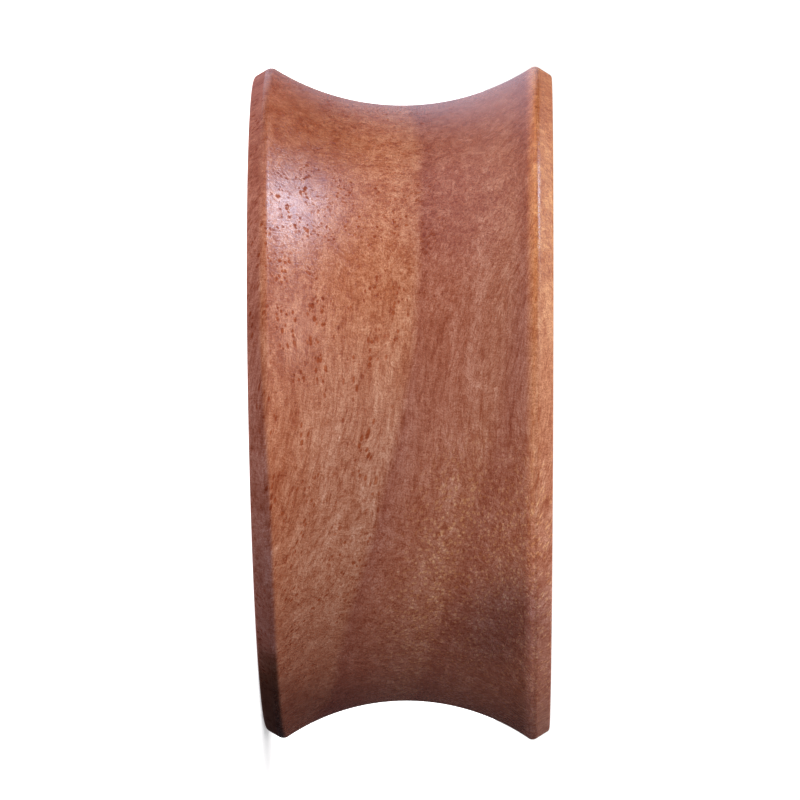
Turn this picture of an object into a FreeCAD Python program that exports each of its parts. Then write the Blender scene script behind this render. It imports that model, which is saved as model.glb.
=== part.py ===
"""A double-flared ear plug, turned from one piece of close-grained heartwood.

The plug lies on its base face, with +Z up. The origin is where the axis of turning meets
the base face. The base flare was cut slightly off square, so that axis leans a little from
+Z towards +X, and the plug is thinnest at +X. Lengths are in millimetres and angles in degrees.
"""
import FreeCAD, Part
import math
import os

# The size that the plug is sold by: the smallest diameter of the waist, which is 1 inch
WAIST_DIAMETER = 25.4

# The two flares, at their ridges, and the stretch between the ridges that the lobe sits on
BASE_FLARE_DIAMETER = 28.7
FRONT_FLARE_DIAMETER = 28.8
WEAR_LENGTH = 10.9

# Thickness along the axis, and the bevel that runs from each ridge to its face
THICKNESS = 12.35
BASE_BEVEL_ANGLE = 31.0
FRONT_BEVEL_ANGLE = 32.0

# How far each flare, with its ridge and face, leans off square towards the thin side at +X
BASE_LEAN = 1.05
FRONT_LEAN = 0.2

# Edges broken with fine paper
BASE_RIDGE_ROUND = 0.35
FRONT_RIDGE_ROUND = 0.12
BASE_EDGE_ROUND = 0.25
FRONT_EDGE_ROUND = 0.18

NODE = "wooden_plug"

HALF_WEAR = WEAR_LENGTH / 2
HALF_THICKNESS = THICKNESS / 2
BASE_SLOPE = math.tan(math.radians(BASE_LEAN))
FRONT_SLOPE = -math.tan(math.radians(FRONT_LEAN))

AXIS = FreeCAD.Vector(0, 0, 1)
LEAN_AXIS = FreeCAD.Vector(0, 1, 0)
CENTRE = FreeCAD.Vector(0, 0, 0)


def section_point(radius, height):
    """A point of the half section, at a radius from the axis and a height above the waist."""
    return FreeCAD.Vector(radius, 0, height)


def line(start, end):
    return Part.LineSegment(start, end).toShape()


def arc(start, middle, end):
    return Part.Arc(start, middle, end).toShape()


def round_arc(centre, radius, start, end):
    """The short arc of a rounded edge, between the two points where it touches its sides."""
    outward = (start - centre) + (end - centre)
    outward.normalize()
    return arc(start, centre + outward * radius, end)


def flare_section(side, ridge, bevel_angle, saddle, ridge_round, edge_round):
    """Edges of the half section of the front flare (side 1) or the base flare (side -1).

    They run from the saddle over the rounded ridge and the bevel to the rounded edge of the
    face. The point where the rounded ridge leaves the saddle is returned with them.
    """
    angle = math.radians(bevel_angle)
    down_bevel = FreeCAD.Vector(-math.sin(angle), 0, side * math.cos(angle))
    inward = FreeCAD.Vector(-math.cos(angle), 0, -side * math.sin(angle))

    # The ridge's round touches the bevel from inside and the saddle's circle from outside
    over_ridge = ridge + inward * ridge_round
    from_saddle = over_ridge - saddle.Center
    reach = saddle.Radius + ridge_round
    back = from_saddle.dot(down_bevel)
    run = math.sqrt(back ** 2 - from_saddle.dot(from_saddle) + reach ** 2) - back
    ridge_centre = over_ridge + down_bevel * run
    saddle_end = saddle.Center + (ridge_centre - saddle.Center) * (saddle.Radius / reach)
    bevel_start = ridge + down_bevel * run

    # The edge's round touches the bevel and the face
    over_edge = ridge + inward * edge_round
    rise = HALF_THICKNESS - side * over_edge.z - edge_round
    run = rise / math.cos(angle)
    edge_centre = over_edge + down_bevel * run
    bevel_end = ridge + down_bevel * run
    rim = section_point(edge_centre.x, side * HALF_THICKNESS)

    edges = [
        round_arc(ridge_centre, ridge_round, saddle_end, bevel_start),
        line(bevel_start, bevel_end),
        round_arc(edge_centre, edge_round, bevel_end, rim),
    ]
    return edges, saddle_end


def half_section():
    """Edges of the plug's half section, from the saddle out over both flares."""
    base_ridge = section_point(BASE_FLARE_DIAMETER / 2, -HALF_WEAR)
    waist = section_point(WAIST_DIAMETER / 2, 0)
    front_ridge = section_point(FRONT_FLARE_DIAMETER / 2, HALF_WEAR)
    saddle = arc(base_ridge, waist, front_ridge).Curve
    base, base_end = flare_section(
        -1, base_ridge, BASE_BEVEL_ANGLE, saddle, BASE_RIDGE_ROUND, BASE_EDGE_ROUND
    )
    front, front_end = flare_section(
        1, front_ridge, FRONT_BEVEL_ANGLE, saddle, FRONT_RIDGE_ROUND, FRONT_EDGE_ROUND
    )
    return [arc(base_end, waist, front_end)] + base + front


def slope_at(height):
    """How steeply the plug's cross-section climbs towards +X at a height above the waist."""
    if height < -HALF_WEAR / 2:
        return BASE_SLOPE
    if height > HALF_WEAR / 2:
        return FRONT_SLOPE
    return (BASE_SLOPE + FRONT_SLOPE) / 2


def leaned_wall(edge):
    """The wall that an edge of the half section makes when turned, leaned with its flare.

    The saddle's poles lie at its two ends and its middle, so it blends one lean into the other.
    """
    surface = edge.revolve(CENTRE, AXIS, 360).toNurbs().Faces[0].Surface
    for around in range(1, surface.NbUPoles + 1):
        for along in range(1, surface.NbVPoles + 1):
            pole = surface.getPole(around, along)
            pole.z += pole.x * slope_at(pole.z)
            surface.setPole(around, along, pole)
    return surface.toShape()


def end_faces(walls):
    """The two flat faces, inside the lowest and the highest ring of the walls."""
    rings = [edge for wall in walls for edge in wall.Edges if edge.Closed]
    rings.sort(key=lambda ring: ring.CenterOfMass.z)
    return [Part.Face(Part.Wire(ring)) for ring in (rings[0], rings[-1])]


def laid_on_base(solid):
    """The plug moved so that its base face is flat on Z 0 and the axis meets it at the origin."""
    solid.translate(FreeCAD.Vector(0, 0, HALF_THICKNESS))
    solid.rotate(CENTRE, LEAN_AXIS, BASE_LEAN)
    return solid


def wooden_plug():
    walls = [leaned_wall(edge) for edge in half_section()]
    shell = Part.Shell(walls + end_faces(walls))
    shell.sewShape()
    solid = Part.Solid(shell)
    if solid.Volume < 0:
        solid.reverse()
    return laid_on_base(solid)


def main():
    os.makedirs("parts", exist_ok=True)
    solid = wooden_plug()
    solid.exportStep(os.path.join("parts", NODE + ".step"))
    box = solid.optimalBoundingBox(False, False)
    print(NODE, "valid", solid.isValid(), "volume mm3", round(solid.Volume, 1))
    print("size mm", [round(length, 2) for length in (box.XLength, box.YLength, box.ZLength)])


main()
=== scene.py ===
import math
from functools import partial

import bpy
from mathutils import Matrix, Vector


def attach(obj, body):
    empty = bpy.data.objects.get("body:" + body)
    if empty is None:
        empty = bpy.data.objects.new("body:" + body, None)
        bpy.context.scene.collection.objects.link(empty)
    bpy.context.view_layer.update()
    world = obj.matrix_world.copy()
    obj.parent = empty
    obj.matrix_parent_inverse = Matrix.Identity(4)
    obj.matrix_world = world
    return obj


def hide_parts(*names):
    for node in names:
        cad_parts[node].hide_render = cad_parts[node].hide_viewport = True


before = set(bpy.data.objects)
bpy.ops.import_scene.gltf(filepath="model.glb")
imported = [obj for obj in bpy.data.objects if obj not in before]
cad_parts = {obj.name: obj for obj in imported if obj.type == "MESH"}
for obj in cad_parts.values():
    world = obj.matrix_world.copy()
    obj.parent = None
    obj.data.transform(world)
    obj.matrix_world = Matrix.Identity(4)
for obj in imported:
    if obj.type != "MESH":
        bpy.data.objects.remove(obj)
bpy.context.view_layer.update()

MM = 0.001

# Kinds of node that are used many times
MATHS = "ShaderNodeMath"
VECTORS = "ShaderNodeVectorMath"
COMBINE = "ShaderNodeCombineXYZ"
RANGE = "ShaderNodeMapRange"
MIX = "ShaderNodeMix"
NOISE = "ShaderNodeTexNoise"
CELLS = "ShaderNodeTexVoronoi"

# Sizes of the turned plug, in metres and radians. They are the same as in the CAD, apart from the
# front ridge, which is rounder here than the 0.12 mm there, for the soft shading of a worn edge,
# and the wobble, a share of the radius, which the CAD leaves out
PLUG_SIZES = {
    "Waist Diameter": 25.4 * MM,
    "Base Flare Diameter": 28.7 * MM,
    "Front Flare Diameter": 28.8 * MM,
    "Wear Length": 10.9 * MM,
    "Thickness": 12.35 * MM,
    "Base Bevel": math.radians(31.0),
    "Front Bevel": math.radians(32.0),
    "Base Ridge Round": 0.35 * MM,
    "Front Ridge Round": 0.3 * MM,
    "Base Edge Round": 0.25 * MM,
    "Front Edge Round": 0.18 * MM,
    "Base Lean": math.radians(1.05),
    "Front Lean": math.radians(0.2),
    "Hand Wobble": 0.0016,
    "Wobble Size": 9.0 * MM,
}
PLUG_STEPS = {"Steps Around": 288, "Saddle Steps": 44, "Round Steps": 9, "Face Steps": 6}

# Points on the arc before it is divided evenly, and how close points must be to be joined
ARC_STEPS = 64
SEAM = 0.001 * MM

WHITE = (1.0, 1.0, 1.0, 1.0)

# Where the middle of the plug is, halfway along its axis of turning
AXIS_LEAN = PLUG_SIZES["Base Lean"]
TURNING_AXIS = Vector((math.sin(AXIS_LEAN), 0.0, math.cos(AXIS_LEAN)))
PLUG_MIDDLE = TURNING_AXIS * (PLUG_SIZES["Thickness"] / 2)


def add_node(tree, kind, inputs=(), out=None, **settings):
    """Adds a node with its settings, links or sets its inputs, and returns one of its outputs.

    The inputs are a tuple in their order, or are named by identifier or name. Without a name
    for the output, the first one in use is returned, or the node itself where it has none.
    """
    made = tree.nodes.new(kind)
    for name, value in settings.items():
        setattr(made, name, value)
    named = {socket.name: socket for socket in reversed(made.inputs)}
    named.update({socket.identifier: socket for socket in made.inputs})
    pairs = inputs.items() if isinstance(inputs, dict) else enumerate(inputs)
    for key, value in pairs:
        socket = made.inputs[key] if isinstance(key, int) else named[key]
        if isinstance(value, bpy.types.NodeSocket):
            tree.links.new(value, socket)
        else:
            socket.default_value = value
    if out is not None:
        return made.outputs[out]
    in_use = [socket for socket in made.outputs if socket.enabled]
    return in_use[0] if in_use else made


def srgb(hex_colour):
    """A linear colour with full alpha from an sRGB hex value."""
    channels = [int(hex_colour[i:i + 2], 16) / 255 for i in (1, 3, 5)]
    linear = [c / 12.92 if c <= 0.04045 else ((c + 0.055) / 1.055) ** 2.4 for c in channels]
    return (*linear, 1.0)


# The turned shape

def plug_shape_tree():
    """Geometry Nodes that turn a half section round the axis, as the plug is turned from its blank."""
    tree = bpy.data.node_groups.new("plug_turned_on_lathe", "GeometryNodeTree")
    for name in PLUG_SIZES:
        tree.interface.new_socket(name=name, in_out="INPUT", socket_type="NodeSocketFloat")
    for name in PLUG_STEPS:
        tree.interface.new_socket(name=name, in_out="INPUT", socket_type="NodeSocketInt")
    tree.interface.new_socket(name="Wood", in_out="INPUT", socket_type="NodeSocketMaterial")
    tree.interface.new_socket(name="Geometry", in_out="OUTPUT", socket_type="NodeSocketGeometry")
    node = partial(add_node, tree)
    given = tree.nodes.new("NodeGroupInput").outputs

    half_wear = node(MATHS, (given["Wear Length"], 0.5), operation="MULTIPLY")
    half_thick = node(MATHS, (given["Thickness"], 0.5), operation="MULTIPLY")
    waist_radius = node(MATHS, (given["Waist Diameter"], 0.5), operation="MULTIPLY")
    bevel_depth = node(MATHS, (half_thick, half_wear), operation="SUBTRACT")

    # Corners of each flare: its ridge, the rim of its face, and a point just inside the rim
    # that keeps the face flat right up to its rounded edge
    ridges = {}
    strings = []
    for flare, side in (("Base", -1), ("Front", 1)):
        edge_round = given[flare + " Edge Round"]
        ridge_radius = node(MATHS, (given[flare + " Flare Diameter"], 0.5), operation="MULTIPLY")
        steepness = node(MATHS, (given[flare + " Bevel"],), operation="TANGENT")
        set_back = node(MATHS, (bevel_depth, steepness), operation="MULTIPLY")
        rim_radius = node(MATHS, (ridge_radius, set_back), operation="SUBTRACT")
        inside_radius = node(MATHS, (rim_radius, edge_round), operation="SUBTRACT")
        ridge_height = node(MATHS, (half_wear, side), operation="MULTIPLY")
        height = node(MATHS, (half_thick, side), operation="MULTIPLY")
        ridges[flare] = node(COMBINE, {"X": ridge_radius, "Z": ridge_height})
        centre = node(COMBINE, {"Z": height})
        inside = node(COMBINE, {"X": inside_radius, "Z": height})
        rim = node(COMBINE, {"X": rim_radius, "Z": height})
        across = node("GeometryNodeCurvePrimitiveLine", {"Start": centre, "End": inside})
        at_rim = node("GeometryNodeCurvePrimitiveLine", {"Start": rim, "End": rim})
        strings.append((across, given["Face Steps"], 0.0))
        strings.append((at_rim, 1, edge_round))

    # The saddle is one arc through both ridges and the waist; its two ends are the ridges
    saddle = node("GeometryNodeCurveArc", {
        "Start": ridges["Base"],
        "Middle": node(COMBINE, {"X": waist_radius}),
        "End": ridges["Front"],
        "Resolution": ARC_STEPS,
    }, mode="POINTS")
    index = node("GeometryNodeInputIndex")
    last = node(MATHS, (given["Saddle Steps"], 1.0), operation="SUBTRACT")
    at_base = node(MATHS, (index, 0.0), operation="COMPARE")
    at_front = node(MATHS, (index, last), operation="COMPARE")
    base_round = node(MATHS, (at_base, given["Base Ridge Round"]), operation="MULTIPLY")
    front_round = node(MATHS, (at_front, given["Front Ridge Round"]), operation="MULTIPLY")
    ridge_round = node(MATHS, (base_round, front_round), operation="ADD")
    strings.append((saddle, given["Saddle Steps"], ridge_round))

    corners = tree.nodes.new("GeometryNodeJoinGeometry")
    for curve, count, rounding in strings:
        beads = node("GeometryNodeCurveToPoints", {"Curve": curve, "Count": count}, mode="COUNT")
        marked = node("GeometryNodeStoreNamedAttribute",
                      {"Geometry": beads, "Name": "rounding", "Value": rounding})
        tree.links.new(marked, corners.inputs[0])

    # Strung in the order of their angle as seen from the middle of the plug, then rounded
    place = node("GeometryNodeInputPosition")
    parted = tree.nodes.new("ShaderNodeSeparateXYZ")
    tree.links.new(place, parted.inputs[0])
    along_x, along_y, along_z = parted.outputs
    turn = node(MATHS, (along_z, along_x), operation="ARCTAN2")
    section = node("GeometryNodePointsToCurves", {"Points": corners.outputs[0], "Weight": turn})
    section = node("GeometryNodeFilletCurve", {
        "Curve": section,
        "Count": given["Round Steps"],
        "Radius": node("GeometryNodeInputNamedAttribute", {"Name": "rounding"}),
        "Limit Radius": True,
    }, mode="POLY")

    # A sheet with one row for each step around and one column for each point of the section
    columns = node("GeometryNodeAttributeDomainSize", {"Geometry": section},
                   out="Point Count", component="CURVE")
    rows = node(MATHS, (given["Steps Around"], 1.0), operation="ADD")
    sheet = node("GeometryNodeMeshGrid", {"Vertices X": rows, "Vertices Y": columns})
    column = node(MATHS, (index, columns), operation="FLOORED_MODULO")
    inside_row = node(MATHS, (index, 0.5), operation="ADD")
    row = node(MATHS, (node(MATHS, (inside_row, columns), operation="DIVIDE"),), operation="FLOOR")
    share = node(MATHS, (row, given["Steps Around"]), operation="DIVIDE")
    angle = node(MATHS, (share, 2 * math.pi), operation="MULTIPLY")
    sampled = node("GeometryNodeSampleIndex", {
        "Geometry": section, "Value": place, "Index": column,
    }, data_type="FLOAT_VECTOR", domain="POINT")
    on_section = tree.nodes.new("ShaderNodeSeparateXYZ")
    tree.links.new(sampled, on_section.inputs[0])
    radius, _, height = on_section.outputs
    cosine = node(MATHS, (angle,), operation="COSINE")
    sine = node(MATHS, (angle,), operation="SINE")
    round_point = node(COMBINE, {
        "X": node(MATHS, (radius, cosine), operation="MULTIPLY"),
        "Y": node(MATHS, (radius, sine), operation="MULTIPLY"),
        "Z": height,
    })
    turned = node("GeometryNodeSetPosition", {"Geometry": sheet, "Position": round_point})
    turned = node("GeometryNodeMergeByDistance", {"Geometry": turned, "Distance": SEAM})

    # Hand sanding leaves it out of round, by about a hundredth of a millimetre at most
    fineness = node(MATHS, (1.0, given["Wobble Size"]), operation="DIVIDE")
    waves = node(NOISE, {"Vector": place, "Scale": fineness, "Detail": 1.0}, out="Fac")
    swing = node(MATHS, (waves, 0.5), operation="SUBTRACT")
    swing = node(MATHS, (swing, given["Hand Wobble"]), operation="MULTIPLY")
    outwards = node(COMBINE, {"X": along_x, "Y": along_y})
    pushed = node(VECTORS, {"Vector": outwards, "Scale": swing}, operation="SCALE")
    sanded = node("GeometryNodeSetPosition", {"Geometry": turned, "Offset": pushed})

    # Heights before the flares lean, in millimetres from the waist, kept for the wood's bevels
    sanded = node("GeometryNodeStoreNamedAttribute", {
        "Geometry": sanded,
        "Name": "lathe_height",
        "Value": node(MATHS, (along_z, 1 / MM), operation="MULTIPLY"),
    })

    # Each flare leans as a whole, and the saddle blends one lean into the other
    base_slope = node(MATHS, (given["Base Lean"],), operation="TANGENT")
    front_slope = node(MATHS, (given["Front Lean"],), operation="TANGENT")
    slope = node(RANGE, {
        "Value": along_z,
        "From Min": node(MATHS, (half_wear, -1.0), operation="MULTIPLY"),
        "From Max": half_wear,
        "To Min": base_slope,
        "To Max": node(MATHS, (front_slope, -1.0), operation="MULTIPLY"),
    })
    climb = node(COMBINE, {"Z": node(MATHS, (along_x, slope), operation="MULTIPLY")})
    leaned = node("GeometryNodeSetPosition", {"Geometry": sanded, "Offset": climb})

    # Laid on its base face
    up = node(COMBINE, {"Z": half_thick})
    raised = node("GeometryNodeTransform", {"Geometry": leaned, "Translation": up})
    lean = node(COMBINE, {"Y": given["Base Lean"]})
    laid = node("GeometryNodeTransform", {"Geometry": raised, "Rotation": lean})

    smooth = node("GeometryNodeSetShadeSmooth", {"Geometry": laid})
    real = node("GeometryNodeRealizeInstances", {"Geometry": smooth})
    dressed = node("GeometryNodeSetMaterial", {"Geometry": real, "Material": given["Wood"]})
    node("NodeGroupOutput", {"Geometry": dressed})
    return tree


def turned_plug(wood):
    """The plug as a plain mesh, with the tree's modifier already applied and removed."""
    tree = plug_shape_tree()
    blank = bpy.data.objects.new("blank", bpy.data.meshes.new("blank"))
    bpy.context.scene.collection.objects.link(blank)
    lathe = blank.modifiers.new("lathe", "NODES")
    lathe.node_group = tree
    for socket in tree.interface.items_tree:
        if socket.in_out != "INPUT":
            continue
        value = {**PLUG_SIZES, **PLUG_STEPS, "Wood": wood}[socket.name]
        lathe[socket.identifier] = value
    depsgraph = bpy.context.evaluated_depsgraph_get()
    mesh = bpy.data.meshes.new_from_object(blank.evaluated_get(depsgraph), depsgraph=depsgraph)
    blank.modifiers.remove(lathe)
    bpy.data.objects.remove(blank)
    while mesh.materials[0] is None:
        mesh.materials.pop(index=0)
    for attribute in [a for a in mesh.attributes if a.name == "rounding"]:
        mesh.attributes.remove(attribute)
    mesh.name = "turned_wooden_plug"
    plug = bpy.data.objects.new("turned_wooden_plug", mesh)
    bpy.context.scene.collection.objects.link(plug)
    return plug


# The wood

# Its fibres run nearly along +X, and its growth layers lie nearly flat, a little out of true
GROWTH = Vector((0.156, 0.147, 1.0)).normalized()
FIBRE = Vector((1.0, 0.0, -0.156)).normalized()
LAYER = GROWTH.cross(FIBRE)

# Tones of the growth layers: millimetres across them from the plug's middle, and colour
GROWTH_TONES = (
    (-8.0, "#ca8262"),
    (-5.0, "#cd8460"),
    (-3.0, "#d48c68"),
    (-1.9, "#d48f6d"),
    (-1.5, "#bb735b"),
    (-1.1, "#c17a61"),
    (-0.2, "#c57e65"),
    (0.8, "#cd8970"),
    (1.6, "#cf8b70"),
    (2.3, "#bd7660"),
    (3.6, "#cd876e"),
    (5.0, "#c78067"),
    (8.0, "#ba7962"),
)
TONES_REACH = 10.0

# How the grain wanders along the fibres, along the layers and across them: waves for each
# millimetre, how far they carry the grain in millimetres, and their detail
WANDERINGS = (
    ((0.1, 0.15, 0.15), (0.0, 1.6, 1.0), 2.0),
    ((0.5, 0.8, 0.8), (1.1, 0.2, 0.2), 1.0),
)

# Figure of the wood: millimetres along the fibres, along the layers and across them, the part
# of the pattern that is used, and how strongly it darkens and lightens the wood.
# The fibres, ray flecks and cell ends are drawn coarser than real ones, so that they show.
FIGURE = {
    "strings": ((5.0, 0.55, 0.50), (0.38, 0.66), 0.34, 0.06),
    "threads": ((2.4, 0.14, 0.16), (0.52, 0.76), 0.44, 0.0),
    "blotches": ((0.50, 0.16, 0.20), (0.42, 0.74), 0.34, 0.04),
    "fibres": ((0.9, 0.065, 0.065), (0.25, 0.75), 0.26, 0.24),
    "ray_flecks": ((0.065, 0.30, 0.70), (0.25, 0.75), 0.22, 0.22),
    "cell_ends": ((0.055, 0.055, 0.055), (0.25, 0.75), 0.48, 0.50),
}
# These are calmer in the heart and towards the low end
CALMED = ("strings", "threads", "blotches")

# Stains and painted shade: along the fibres, along the layers and across them, each with its reach, and
# the shade
STAINS_AND_PAINTED_SHADE = (
    # Painted shade towards the top end, on the younger side and then right across
    ((-9.8, 3.4), (0.0, 30.0), (-6.6, 3.8), (0.77, 0.68, 0.60)),
    ((-13.4, 3.8), (0.0, 30.0), (0.0, 30.0), (0.84, 0.71, 0.70)),
    # A paler, bluer patch on the younger side
    ((4.5, 10.0), (0.0, 30.0), (-4.0, 4.2), (1.0, 1.2, 1.52)),
    # A warmer, less blue patch near the top on the heart side
    ((-8.8, 5.0), (0.0, 30.0), (1.0, 4.5), (0.95, 0.88, 0.78)),
    # A dark stain streak near the low end on the heart side
    ((8.2, 3.4), (0.0, 30.0), (3.8, 2.8), (0.56, 0.57, 0.70)),
    # Painted shade towards the low end, right across and deepest on the younger side
    ((13.5, 8.0), (0.0, 30.0), (0.0, 30.0), (0.70, 0.62, 0.64)),
    ((14.0, 3.4), (0.0, 30.0), (-3.0, 9.0), (0.60, 0.55, 0.58)),
)


def tinted(tree, colour, amount, tint):
    """The colour times a tint, as far as the amount goes from none to all of it."""
    shade = add_node(tree, MIX, {"Factor_Float": amount, "A_Color": WHITE, "B_Color": tint},
                     data_type="RGBA")
    return add_node(tree, VECTORS, (colour, shade), operation="MULTIPLY")


def heartwood():
    """Close-grained reddish heartwood, fine sanded and oiled: a satin gloss that pores break up."""
    material = bpy.data.materials.new("satin_reddish_heartwood")
    material.use_nodes = True
    tree = material.node_tree
    tree.nodes.clear()
    node = partial(add_node, tree)

    # Millimetres from the plug's middle: X along the fibres, Y along the layers, Z across them
    blank = Matrix((FIBRE, LAYER, GROWTH))
    grain = node("ShaderNodeMapping", {
        "Vector": node("ShaderNodeTexCoord", out="Object"),
        "Location": -(blank @ PLUG_MIDDLE) / MM,
        "Rotation": blank.to_euler(),
        "Scale": (1 / MM, 1 / MM, 1 / MM),
    })
    # The fibres and layers wander slowly, and ripple more finely
    for waves_per_mm, carry, detail in WANDERINGS:
        place = node(VECTORS, (grain, waves_per_mm), operation="MULTIPLY")
        waves = node(NOISE, {"Vector": place, "Scale": 1.0, "Detail": detail}, out="Color")
        waves = node(VECTORS, (waves, (0.5, 0.5, 0.5)), operation="SUBTRACT")
        waves = node(VECTORS, (waves, carry), operation="MULTIPLY")
        grain = node(VECTORS, (grain, waves), operation="ADD")
    parted = tree.nodes.new("ShaderNodeSeparateXYZ")
    tree.links.new(grain, parted.inputs[0])
    along, _, across = parted.outputs
    # The layers bow by half a millimetre towards the low end
    bow = node(RANGE, {"Value": along, "From Min": -2.0, "From Max": 6.0, "To Max": 0.5},
               interpolation_type="SMOOTHSTEP")
    across = node(MATHS, (across, bow), operation="ADD")

    # Growth layers, from the salmon of the younger wood to the redder heart
    age = node(RANGE, {"Value": across, "From Min": -TONES_REACH, "From Max": TONES_REACH})
    colour = node("ShaderNodeValToRGB", {"Fac": age}, out="Color")
    ramp = colour.node.color_ramp
    for _ in GROWTH_TONES[2:]:
        ramp.elements.new(0.5)
    for element, (height, hex_colour) in zip(ramp.elements, GROWTH_TONES):
        element.position = (height / TONES_REACH + 1) / 2
        element.color = srgb(hex_colour)

    # Soft stains in the wood, and painted shade towards the top end and the low end along the fibres
    for *spots, shade in STAINS_AND_PAINTED_SHADE:
        middle = tuple(spot[0] for spot in spots)
        reach = tuple(1 / spot[1] for spot in spots)
        off = node(VECTORS, (grain, middle), operation="SUBTRACT")
        off = node(VECTORS, (off, reach), operation="MULTIPLY")
        off = node(VECTORS, (off,), out="Value", operation="LENGTH")
        fade = node(RANGE, {"Value": off, "From Min": 1.0, "From Max": 0.2},
                    interpolation_type="SMOOTHSTEP")
        colour = tinted(tree, colour, fade, (*shade, 1.0))

    # Darker figure is also redder
    calm = node(RANGE, {"Value": across, "From Min": -1.7, "From Max": -1.2, "To Max": 0.35})
    calm_low = node(RANGE, {"Value": along, "From Min": 1.0, "From Max": 7.0, "To Max": 0.4})
    calm = node(MATHS, (calm, calm_low), operation="MAXIMUM")
    figure = {}
    for name, (size, used, darkens, lightens) in FIGURE.items():
        fineness = tuple(1 / length for length in size)
        place = node(VECTORS, (grain, fineness), operation="MULTIPLY")
        pattern = node(NOISE, {"Vector": place, "Scale": 1.0, "Detail": 2.0, "Roughness": 0.6}, out="Fac")
        figure[name] = node(RANGE, {"Value": pattern, "From Min": used[1], "From Max": used[0]})
        if name in CALMED:
            figure[name] = node(MATHS, (figure[name], calm), operation="MAXIMUM")
        dark = (1 - 0.6 * darkens, 1 - 1.1 * darkens, 1 - 1.4 * darkens, 1)
        light = (1 + 0.6 * lightens, 1 + 1.1 * lightens, 1 + 1.4 * lightens, 1)
        shade = node(MIX, {"Factor_Float": figure[name], "A_Color": dark, "B_Color": light},
                     data_type="RGBA")
        colour = node(VECTORS, (colour, shade), operation="MULTIPLY")

    # Vessels: short rods up to 0.36 mm long and 0.10 by 0.16 mm thick at half strength, which the
    # surface cuts into dashes. They crowd in patches of the younger wood
    young = node(RANGE, {"Value": across, "From Min": 0.0, "From Max": -2.4, "To Min": 0.3, "To Max": 1.0})
    patches = node(NOISE, {"Vector": node(VECTORS, (grain, (0.5, 1.1, 1.1)), operation="MULTIPLY"),
                           "Scale": 1.0, "Detail": 2.0}, out="Fac")
    patches = node(RANGE, {"Value": patches, "From Min": 0.40, "From Max": 0.56})
    crowd = node(MATHS, (young, patches), operation="MULTIPLY")
    vessel = node(CELLS, {"Vector": node(VECTORS, (grain, (2.3, 8.5, 5.0)), operation="MULTIPLY"),
                          "Scale": 1.0}, out="Distance")
    uneven = node(VECTORS, (vessel.node.outputs["Color"], (0.24, 0.0, 0.0)), out="Value",
                  operation="DOT_PRODUCT")
    vessel = node(RANGE, {"Value": node(MATHS, (vessel, uneven), operation="ADD"),
                          "From Min": 0.54, "From Max": 0.28}, interpolation_type="SMOOTHSTEP")
    vessel = node(MATHS, (vessel, crowd), operation="MULTIPLY")
    colour = tinted(tree, colour, vessel, (0.70, 0.44, 0.30, 1.0))

    # Pale flecks where the heart's fibres come out on the surface
    heart = node(RANGE, {"Value": across, "From Min": -1.2, "From Max": 1.0})
    low = node(RANGE, {"Value": along, "From Min": 0.0, "From Max": 4.0})
    slanted = node("ShaderNodeMapping", {"Vector": grain, "Rotation": (0.0, 0.45, 0.0),
                                         "Scale": (0.34, 0.16, 0.16)}, vector_type="TEXTURE")
    fleck = node(CELLS, {"Vector": slanted, "Scale": 1.0}, out="Distance")
    fleck = node(RANGE, {"Value": fleck, "From Min": 0.46, "From Max": 0.18},
                 interpolation_type="SMOOTHSTEP")
    fleck = node(MATHS, (fleck, node(MATHS, (heart, low), operation="MULTIPLY")), operation="MULTIPLY")
    colour = tinted(tree, colour, fleck, (1.34, 1.65, 1.45, 1.0))

    # The bevels have tones of their own: golden round the front flare, with painted light making it paler
    # and bluer towards its low end; round the base flare a purplish painted shade, darker towards its low
    # end and near black at that end
    lathe_height = node("ShaderNodeAttribute", out="Fac", attribute_name="lathe_height")
    front = node(RANGE, {"Value": lathe_height, "From Min": 5.0, "From Max": 5.4},
                 interpolation_type="SMOOTHSTEP")
    spill = node(RANGE, {"Value": along, "From Min": -2.0, "From Max": 5.0, "To Min": 0.0, "To Max": 0.3})
    base = node(MATHS, (lathe_height, spill), operation="SUBTRACT")
    base = node(RANGE, {"Value": base, "From Min": -5.54, "From Max": -5.74},
                interpolation_type="SMOOTHSTEP")
    # How far along the fibres from the top end to the low end, for the bevels' painted light and shade
    low_end_share = node(RANGE, {"Value": along, "From Min": -9.0, "From Max": 7.0})
    # The front bevel's golden tone, with painted light making it paler and bluer towards its low end
    golden_with_painted_light = node(MIX, {"Factor_Float": low_end_share, "A_Color": (1.20, 1.34, 0.80, 1),
                        "B_Color": (1.12, 1.2, 1.25, 1)}, data_type="RGBA")
    # Painted shade on the base bevel, purplish, and darker and bluer towards its low end
    base_bevel_painted_shade = node(MIX, {"Factor_Float": low_end_share, "A_Color": (0.9, 0.78, 0.85, 1),
                       "B_Color": (0.58, 0.62, 0.92, 1)}, data_type="RGBA")
    # The base bevel goes near black at its low end
    near_black_end = node(RANGE, {"Value": along, "From Min": 10.7, "From Max": 11.7})
    base_bevel_painted_shade = node(MIX, {"Factor_Float": near_black_end, "A_Color": base_bevel_painted_shade, "B_Color": (0.24, 0.26, 0.29, 1)},
                 data_type="RGBA")
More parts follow.
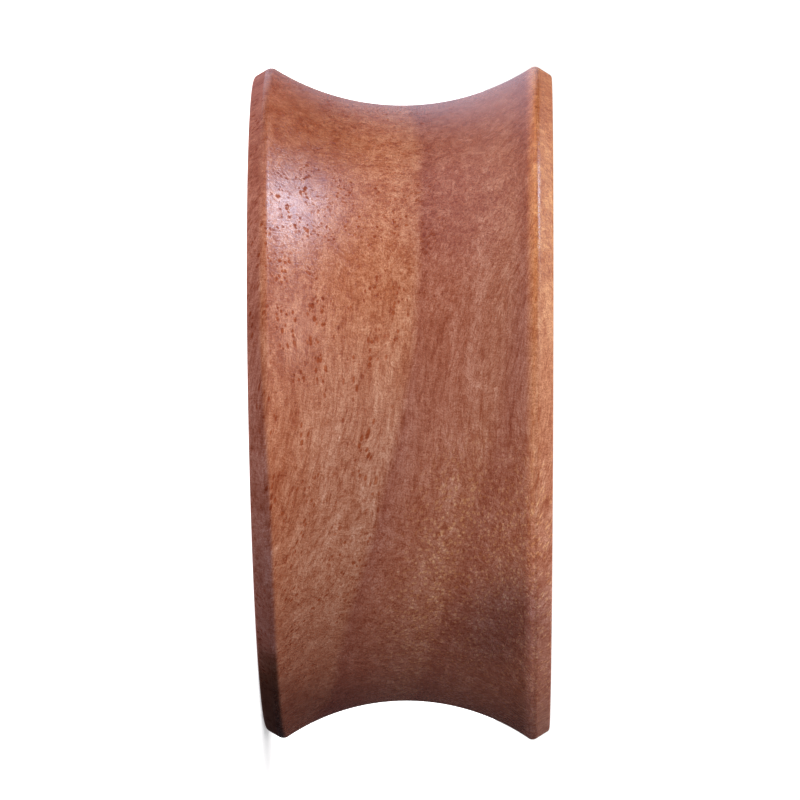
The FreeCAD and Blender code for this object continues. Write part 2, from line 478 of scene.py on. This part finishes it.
    # A painted highlight lies along the front ridge and the saddle's edge beside it, palest at its top and
    # bottom
    ridge = node(RANGE, {"Value": lathe_height, "From Min": 4.95, "From Max": 5.3},
                 interpolation_type="SMOOTHSTEP")
    crest = node(RANGE, {"Value": lathe_height, "From Min": 5.52, "From Max": 5.42})
    ridge = node(MATHS, (ridge, crest), operation="MULTIPLY")
    ends = node(RANGE, {"Value": node(MATHS, (along,), operation="ABSOLUTE"),
                        "From Min": 3.0, "From Max": 9.0})
    ridge_painted_highlight = node(MIX, {"Factor_Float": ends, "A_Color": (1.2, 1.18, 1.15, 1),
                       "B_Color": (1.42, 1.52, 1.65, 1)}, data_type="RGBA")
    for zone, tint in ((front, golden_with_painted_light), (base, base_bevel_painted_shade), (ridge, ridge_painted_highlight)):
        colour = tinted(tree, colour, zone, tint)
    # The bevels and faces are left matt, and the faces shine least
    beyond = node(MATHS, (lathe_height,), operation="ABSOLUTE")
    bare = node(RANGE, {"Value": beyond, "From Min": 5.60, "From Max": 5.68})
    faces = node(RANGE, {"Value": beyond, "From Min": 6.12, "From Max": 6.17})

    # Relief of a few microns: flecks and fibres stand, and the vessels are open and matt
    relief = node(MATHS, (figure["cell_ends"], figure["fibres"]), operation="ADD")
    relief = node(MATHS, (relief, figure["ray_flecks"]), operation="ADD")
    relief = node(MATHS, (relief, node(MATHS, (vessel, 2.0), operation="MULTIPLY")), operation="SUBTRACT")
    bump = node("ShaderNodeBump", {"Height": relief, "Strength": 1.0, "Distance": 0.003 * MM})
    matt = node(MATHS, (vessel, bare), operation="MAXIMUM")
    dull = node(MATHS, (faces, 0.8), operation="MULTIPLY")
    dull = node(MATHS, (vessel, dull), operation="MAXIMUM")
    surface = node("ShaderNodeBsdfPrincipled", {
        "Base Color": colour,
        "Roughness": node(RANGE, {"Value": matt, "To Min": 0.27, "To Max": 0.6}),
        "Specular IOR Level": node(RANGE, {"Value": dull, "To Min": 0.5, "To Max": 0.1}),
        "IOR": 1.5,
        "Normal": bump,
    })
    node("ShaderNodeOutputMaterial", {"Surface": surface})
    return material


# The studio

# Soft lights as the camera sees them: name, right, up, towards the camera, spread in degrees,
# power, colour, and whether they shade the wood and whether they shine in its gloss
STUDIO_LIGHTS = (
    ("front_softbox", 0.2, 0.03, 0.98, 60, 1.6, "#ffffff", True, False),
    ("right_softbox", 0.85, 0.28, 0.45, 40, 0.45, "#ffffff", True, False),
    ("right_card", 1.0, 0.0, 0.0, 40, 0.4, "#ffffff", True, False),
    ("key_right", 0.87, 0.50, 0.0, 40, 1.15, "#ffffff", True, False),
    ("key_top", 0.42, 0.91, 0.0, 40, 0.85, "#ffffff", True, False),
    ("key_softbox", 0.59, 0.80, 0.08, 25, 1.35, "#b9dcff", False, True),
    ("key_middle", 0.64, 0.77, 0.02, 10, 0.6, "#cfe6ff", False, True),
    ("key_low", 0.72, 0.40, 0.57, 25, 0.35, "#cfe6ff", False, True),
    ("key_left", 0.36, 0.93, 0.0, 24, 0.25, "#c4ccff", False, True),
    ("top_card", -0.35, 0.90, 0.10, 50, 0.5, "#b9c8ff", False, True),
    ("table_front", -0.85, 0.28, 0.45, 40, 0.6, "#ffffff", True, False),
    ("table_side", -0.92, 0.35, 0.0, 40, 0.5, "#ffffff", True, False),
    ("table_back", -0.85, 0.28, -0.45, 40, 1.5, "#ffffff", True, False),
    ("back_softbox", -0.26, 0.46, -0.85, 40, 0.7, "#ffffff", True, False),
    ("back_above", 0.5, 0.0, -0.87, 60, 1.6, "#ffffff", True, False),
    ("back_low", 0.1, -0.5, -0.86, 60, 0.8, "#ffffff", True, False),
    ("low_above", 0.6, -0.7, -0.4, 40, 0.25, "#ffffff", True, False),
)
SUN_FAR = 0.5  # metres; a sun shines the same from any distance


def soft_light(name, right, up, towards, spread, power, tint, shades, shines):
    """A soft light far away, by its direction in the picture and its spread as seen by the plug."""
    lamp = bpy.data.lights.new(name, "SUN")
    lamp.angle = math.radians(spread)
    lamp.energy = power
    lamp.color = srgb(tint)[:3]
    to_camera = Vector((0.0, -1.0, 0.0))
    picture_up = to_camera.cross(TURNING_AXIS)
    away = (TURNING_AXIS * right + picture_up * up + to_camera * towards).normalized()
    light = bpy.data.objects.new(name, lamp)
    light.location = PLUG_MIDDLE + away * SUN_FAR
    light.rotation_euler = away.to_track_quat("Z", "Y").to_euler()
    light.visible_diffuse = shades
    light.visible_glossy = shines
    bpy.context.scene.collection.objects.link(light)


def white_floor():
    """A white table that glows, so that it photographs as white. Only the camera sees it."""
    mesh = bpy.data.meshes.new("studio_floor")
    reach = 6.0  # metres; its far edge is lost against the white world
    mesh.from_pydata(
        [(-reach, -reach, 0), (reach, -reach, 0), (reach, reach, 0), (-reach, reach, 0)],
        [], [(0, 1, 2, 3)],
    )
    floor = bpy.data.objects.new("studio_floor", mesh)
    bpy.context.scene.collection.objects.link(floor)
    material = bpy.data.materials.new("overexposed_white_table")
    material.use_nodes = True
    tree = material.node_tree
    tree.nodes.clear()
    node = partial(add_node, tree)
    place = node("ShaderNodeTexCoord", out="Object")
    # The plug's shade is painted into the glow, under it and on the side away from the key
    off = node(VECTORS, (place, (4 * MM, 0.0, 0.0)), operation="SUBTRACT")
    off = node(VECTORS, (off, (1.0, 1.35, 1.0)), operation="MULTIPLY")
    off = node(VECTORS, (off,), out="Value", operation="LENGTH")
    glow = node(RANGE, {"Value": off, "From Min": 10 * MM, "From Max": 19 * MM,
                        "To Min": 0.35, "To Max": 1.05}, interpolation_type="SMOOTHSTEP")
    sheet = node("ShaderNodeBsdfDiffuse", {"Color": (0.9, 0.9, 0.9, 1.0)})
    lit = node("ShaderNodeEmission", {"Color": WHITE, "Strength": glow})
    node("ShaderNodeOutputMaterial", {"Surface": node("ShaderNodeAddShader", (sheet, lit))})
    mesh.materials.append(material)
    floor.visible_diffuse = False
    floor.visible_glossy = False
    floor.visible_shadow = False
    return floor


def studio_world():
    """White where the camera sees it; the gloss sees it mainly above and behind in the picture."""
    world = bpy.data.worlds.new("white_studio")
    world.use_nodes = True
    tree = world.node_tree
    tree.nodes.clear()
    node = partial(add_node, tree)
    rays = tree.nodes.new("ShaderNodeLightPath").outputs
    direction = node("ShaderNodeTexCoord", out="Generated")
    behind = node(VECTORS, (direction, (-0.40, 0.85, -0.35)), out="Value", operation="DOT_PRODUCT")
    veil = node(RANGE, {"Value": behind, "From Min": 0.80, "From Max": 0.97,
                        "To Min": 0.03, "To Max": 0.9}, interpolation_type="SMOOTHSTEP")
    backdrop = node("ShaderNodeBackground", {"Color": WHITE, "Strength": 1.1})
    sheen = node("ShaderNodeBackground", {"Color": srgb("#dfe2ff"), "Strength": veil})
    room = node("ShaderNodeBackground", {"Color": srgb("#c8d2ff"), "Strength": 0.05})
    lit = node("ShaderNodeMixShader", (rays["Is Glossy Ray"], room, sheen))
    node("ShaderNodeOutputWorld", {
        "Surface": node("ShaderNodeMixShader", (rays["Is Camera Ray"], lit, backdrop)),
    })
    bpy.context.scene.world = world


# The photo's camera: how far from the plug's middle, how far round towards the front face, its
# lens and sensor in millimetres, and how far the picture is moved, in pixels of 800
CAMERA_DISTANCE = 260 * MM
CAMERA_YAW = math.radians(0.88)
CAMERA_LENS = 274.0
CAMERA_SENSOR = 36.0
PICTURE_PIXELS = 800
PICTURE_SHIFT = (-5.8, 3)


def photo_camera():
    """A long lens almost square on the plug's side, a quarter turn over, as the plug lies down."""
    backward = Vector((0.0, -math.cos(CAMERA_YAW), 0.0)) + TURNING_AXIS * math.sin(CAMERA_YAW)
    backward.normalize()
    right = (TURNING_AXIS - backward * TURNING_AXIS.dot(backward)).normalized()
    up = backward.cross(right)
    data = bpy.data.cameras.new("photo_camera")
    data.sensor_width = CAMERA_SENSOR
    data.lens = CAMERA_LENS
    data.shift_x = PICTURE_SHIFT[0] / PICTURE_PIXELS
    data.shift_y = PICTURE_SHIFT[1] / PICTURE_PIXELS
    camera = bpy.data.objects.new("photo_camera", data)
    turn = Matrix((right, up, backward)).transposed().to_4x4()
    camera.matrix_world = Matrix.Translation(PLUG_MIDDLE + backward * CAMERA_DISTANCE) @ turn
    bpy.context.scene.collection.objects.link(camera)
    bpy.context.scene.camera = camera


wood = heartwood()
plug = turned_plug(wood)
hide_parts("wooden_plug")
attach(plug, "root")

white_floor()
studio_world()
for lamp in STUDIO_LIGHTS:
    soft_light(*lamp)
photo_camera()
bpy.context.scene.view_settings.view_transform = "Standard"
